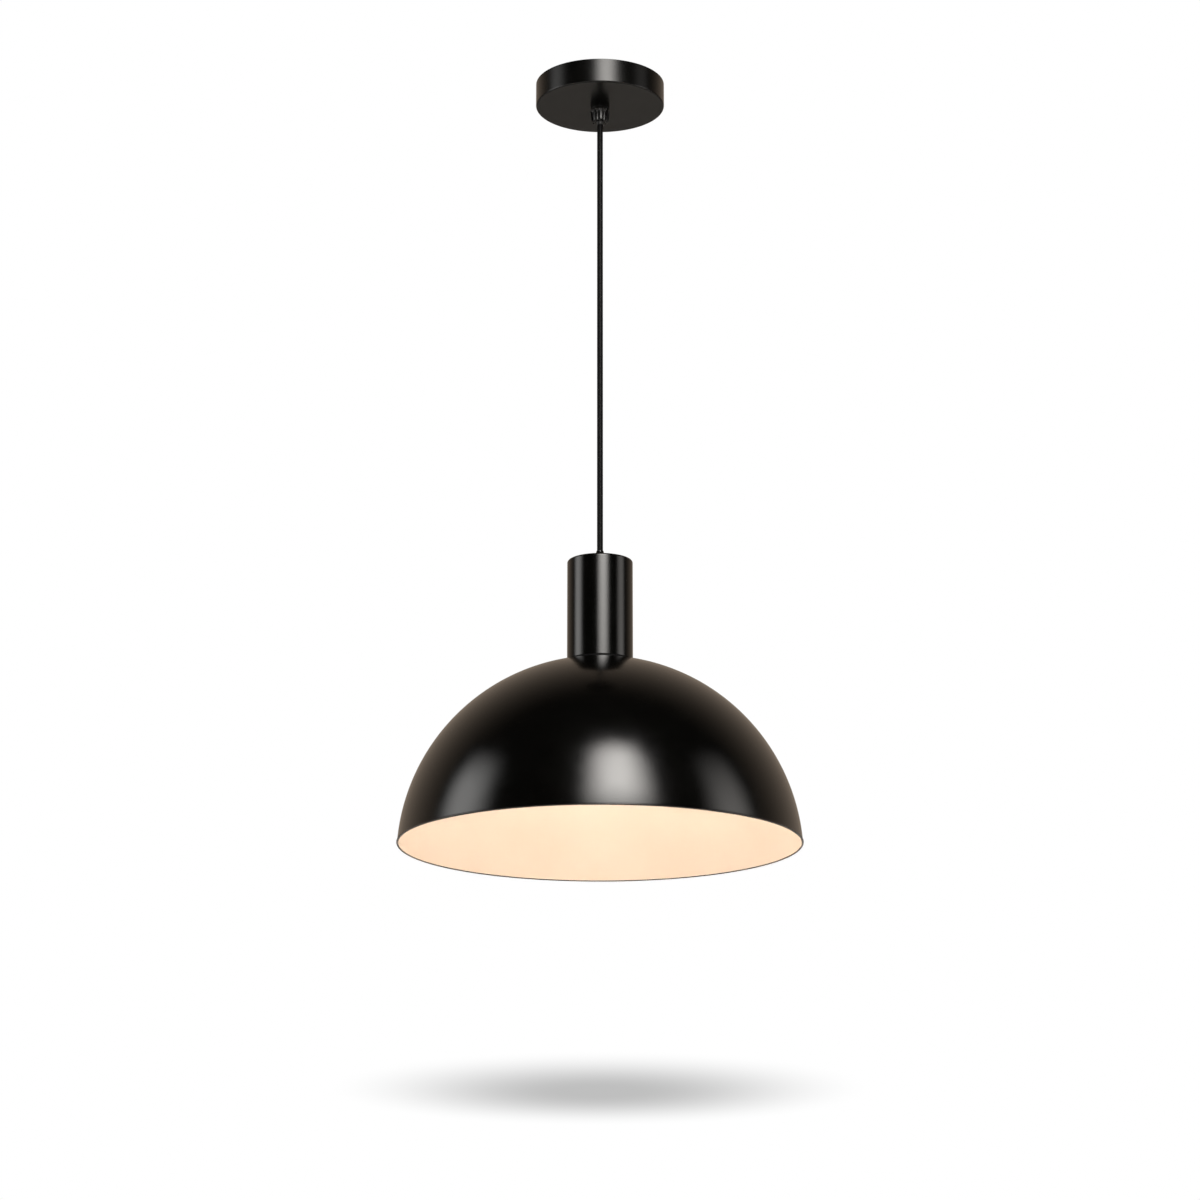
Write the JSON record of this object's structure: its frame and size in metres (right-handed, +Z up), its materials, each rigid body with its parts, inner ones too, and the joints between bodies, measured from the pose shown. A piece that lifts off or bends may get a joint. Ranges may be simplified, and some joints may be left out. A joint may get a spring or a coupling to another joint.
{
  "type": "pendant ceiling light",
  "caption": "Black dome pendant light: disc canopy, cord grip, round cord, tall socket cup and spherical metal shade with a white inside.",
  "frame": {"origin": "centre of the ceiling plane, on the top face of the mounting bracket", "axes": "+Z up towards the ceiling, the light hangs along -Z; X along the bracket between its two ceiling screws; the picture's front is -Y"},
  "size_m": [0.3599, 0.36, 0.726],
  "materials": {
    "black_paint": "satin",
    "black_plastic": "satin",
    "cord_sheath": "satin",
    "zinc_steel": "satin",
    "brass": "satin",
    "nickel_shell": "satin",
    "block_plastic": "satin",
    "ceramic_insulator": "satin",
    "cap_insulator": "gloss",
    "live_core": "satin",
    "neutral_core": "satin",
    "earth_core": "satin",
    "white_plastic": "satin",
    "fibre": "matte",
    "opal": "satin",
    "board": "satin"
  },
  "bodies": {
    "ceiling_mount": {"mounting_bracket": "zinc_steel", "canopy_cover": "black_paint", "canopy_side_screws": "zinc_steel", "grip_body": "black_plastic", "grip_locknut": "black_plastic", "terminal_block": "block_plastic", "terminal_sleeves": "brass", "terminal_screws": "zinc_steel", "block_screw": "zinc_steel", "earth_screw": "zinc_steel", "earth_lug": "brass", "canopy_live_wire": "live_core", "canopy_neutral_wire": "neutral_core", "canopy_earth_wire": "earth_core", "cord_top_end": "cord_sheath"},
    "collet": {"grip_collet": "black_plastic"},
    "grip_nut": {"grip_nut": "black_plastic"},
    "upper_bend": {"cord_bend_upper": "cord_sheath"},
    "upper_cord": {"cord_upper_run": "cord_sheath"},
    "lower_cord": {"cord_lower_run": "cord_sheath"},
    "lower_bend": {"cord_bend_lower": "cord_sheath"},
    "lamp_head": {"cup_bush": "black_plastic", "threaded_tube": "zinc_steel", "tube_nuts": "zinc_steel", "lock_washer": "zinc_steel", "socket_cup": "black_paint", "cord_bottom_end": "cord_sheath", "strain_relief_collar": "zinc_steel", "lampholder_cap": "zinc_steel", "lampholder_skirt": "black_plastic", "socket_insulator": "ceramic_insulator", "screw_shell": "nickel_shell", "centre_contact": "brass", "shell_contact": "brass", "earth_terminal": "brass", "socket_terminal_screws": "zinc_steel", "socket_live_wire": "live_core", "socket_neutral_wire": "neutral_core", "socket_earth_wire": "earth_core", "shade": "black_paint"},
    "ring_washer": {"shade_ring_washer": "fibre"},
    "shade_ring": {"shade_ring": "white_plastic"},
    "bulb_foot": {"bulb_contact": "brass"},
    "bulb": {"bulb_cap": "nickel_shell", "bulb_insulator": "cap_insulator", "bulb_housing": "white_plastic", "bulb_diffuser": "opal", "led_board": "board", "bulb_driver": "board"}
  },
  "joints": [
    {"name": "swing_front_back", "type": "hinge", "parent": "ceiling_mount", "child": "upper_bend", "pos_m": [0, 0, -0.046], "axis": [1, 0, 0], "range_deg": [-40, 40]},
    {"name": "swing_left_right", "type": "hinge", "parent": "upper_bend", "child": "upper_cord", "pos_m": [0, 0, -0.046], "axis": [0, 1, 0], "range_deg": [-40, 40]},
    {"name": "cord_twist", "type": "hinge", "parent": "upper_cord", "child": "lower_cord", "pos_m": [0, 0, -0.249], "axis": [0, 0, 1], "range_deg": [-180, 180]},
    {"name": "tip_front_back", "type": "hinge", "parent": "lower_cord", "child": "lower_bend", "pos_m": [0, 0, -0.452], "axis": [1, 0, 0], "range_deg": [-30, 30]},
    {"name": "tip_left_right", "type": "hinge", "parent": "lower_bend", "child": "lamp_head", "pos_m": [0, 0, -0.452], "axis": [0, 1, 0], "range_deg": [-30, 30]},
    {"name": "collet_travel", "type": "slide", "parent": "ceiling_mount", "child": "collet", "axis": [0, 0, -1], "range_m": [0, 0.003]},
    {"name": "grip_nut_turn", "type": "hinge", "parent": "collet", "child": "grip_nut", "pos_m": [0, 0, -0.032], "axis": [0, 0, -1], "range_deg": [0, 720]},
    {"name": "ring_travel", "type": "slide", "parent": "lamp_head", "child": "ring_washer", "axis": [0, 0, -1], "range_m": [0, 0.005]},
    {"name": "shade_ring_turn", "type": "hinge", "parent": "ring_washer", "child": "shade_ring", "pos_m": [0, 0, -0.5655], "axis": [0, 0, -1], "range_deg": [0, 720]},
    {"name": "bulb_travel", "type": "slide", "parent": "lamp_head", "child": "bulb_foot", "axis": [0, 0, -1], "range_m": [0, 0.01089]},
    {"name": "bulb_turn", "type": "hinge", "parent": "bulb_foot", "child": "bulb", "pos_m": [0, 0, -0.5685], "axis": [0, 0, -1], "range_deg": [0, 1080]}
  ],
  "couplings": [
    {"joint": "collet_travel", "follows": "grip_nut_turn", "m_per_rad": 0.00023873},
    {"joint": "ring_travel", "follows": "shade_ring_turn", "m_per_rad": 0.00039789},
    {"joint": "bulb_travel", "follows": "bulb_turn", "m_per_rad": 0.00057757}
  ]
}
